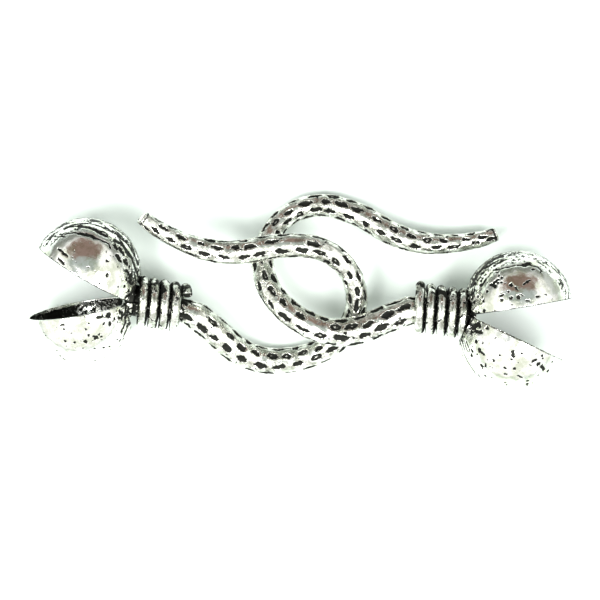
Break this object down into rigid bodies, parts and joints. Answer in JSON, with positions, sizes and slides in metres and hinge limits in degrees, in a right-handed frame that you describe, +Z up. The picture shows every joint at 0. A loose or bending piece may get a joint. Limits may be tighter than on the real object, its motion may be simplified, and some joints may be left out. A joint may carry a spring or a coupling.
{
  "type": "crimp end clasp",
  "caption": "Hook clasp of two S-shaped cast hooks caught in each other, each bound with wire to a pair of open round cups that crimp over a cord's end.",
  "frame": {"origin": "on the table, under the middle of the box round the whole clasp", "axes": "+X along the clasp towards the right half, +Y across it in the table's plane, up in the picture, +Z up from the table"},
  "size_m": [0.0676, 0.025, 0.014],
  "materials": {
    "cast_silver": "cast alloy with antiqued silver plate, bright on the high places and black in the pits",
    "wire_silver": "round wire with dark antiqued silver plate",
    "cup_silver": "hammered antiqued silver plate, bright with dark specks"
  },
  "bodies": {
    "root": {"hook_left": "cast_silver", "hook_right": "cast_silver", "wrap_left": "wire_silver", "wrap_right": "wire_silver", "cup_upper_left": "cup_silver", "cup_lower_left": "cup_silver", "cup_upper_right": "cup_silver", "cup_lower_right": "cup_silver"}
  },
  "joints": []
}
